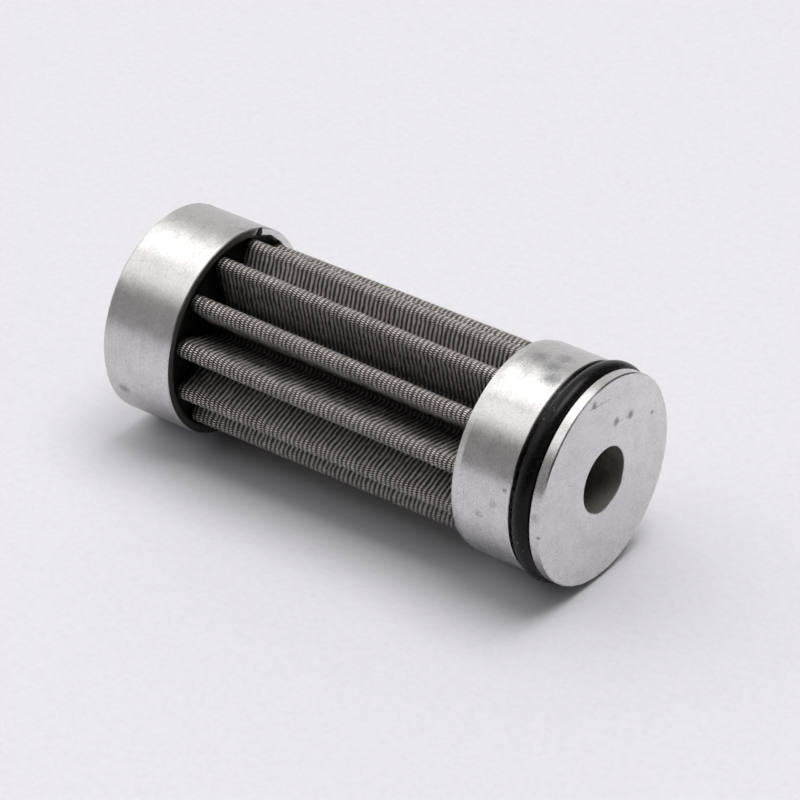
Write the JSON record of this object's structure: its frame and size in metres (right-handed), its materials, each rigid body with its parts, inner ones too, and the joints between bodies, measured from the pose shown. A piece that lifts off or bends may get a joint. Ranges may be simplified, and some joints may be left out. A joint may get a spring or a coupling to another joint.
{
  "type": "pleated filter cartridge",
  "caption": "Small hydraulic filter cartridge: pleated steel wire cloth between two turned aluminium caps, one closed, one bored with an O-ring groove.",
  "frame": {"origin": "centre of the closed rear face, on which the cartridge stands", "axes": "+Z along the cartridge's axis, from the closed rear cap to the bored front face"},
  "size_m": [0.0248, 0.0248, 0.0582],
  "materials": {
    "turned_aluminium": "satin, turned",
    "seal_rubber": "smooth, soft sheen",
    "wire_cloth": "woven, grey-brown",
    "core_steel": "plain",
    "epoxy": "cast, black"
  },
  "bodies": {
    "root": {"rear_cap": "turned_aluminium", "front_cap": "turned_aluminium", "o_ring": "seal_rubber", "pleated_mesh": "wire_cloth", "centre_tube": "core_steel", "rear_potting": "epoxy", "front_potting": "epoxy"}
  },
  "joints": []
}
